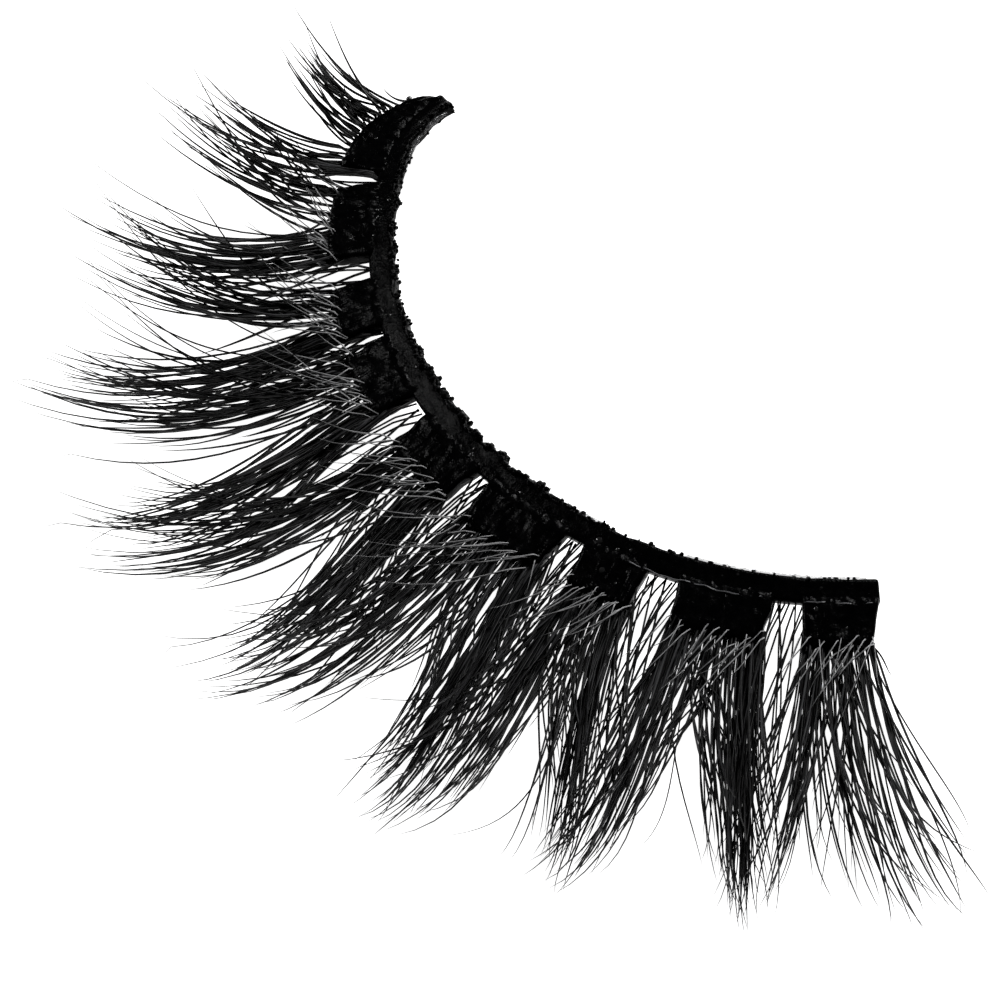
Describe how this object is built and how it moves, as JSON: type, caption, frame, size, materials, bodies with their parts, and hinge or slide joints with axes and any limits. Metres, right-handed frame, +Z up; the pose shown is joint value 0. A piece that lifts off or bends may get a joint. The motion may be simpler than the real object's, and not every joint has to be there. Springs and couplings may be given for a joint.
{
  "type": "false eyelash strip",
  "caption": "Curved band with glued root pads and pointed, upward-curled lash spikes, worn along the upper eyelid.",
  "frame": {"origin": "middle of the strip's underside on the table", "axes": "+X from the inner to the outer corner of the eye, -Y the way the lashes point, +Z up"},
  "size_m": [0.0484, 0.026, 0.007],
  "materials": {
    "band_thread": "black thread under thin glue",
    "root_glue": "glossy black glue over lash roots",
    "lash_fibre": "satin black synthetic fibre"
  },
  "bodies": {
    "root": {"lash_band": "band_thread", "root_pad_1": "root_glue", "root_pad_2": "root_glue", "root_pad_3": "root_glue", "root_pad_4": "root_glue", "root_pad_5": "root_glue", "root_pad_6": "root_glue", "root_pad_7": "root_glue", "root_pad_8": "root_glue", "root_pad_9": "root_glue", "lash_spike_01": "lash_fibre", "lash_spike_02": "lash_fibre", "lash_spike_03": "lash_fibre", "lash_spike_04": "lash_fibre", "lash_spike_05": "lash_fibre", "lash_spike_06": "lash_fibre", "lash_spike_07": "lash_fibre", "lash_spike_08": "lash_fibre", "lash_spike_09": "lash_fibre", "lash_spike_10": "lash_fibre"}
  },
  "joints": []
}
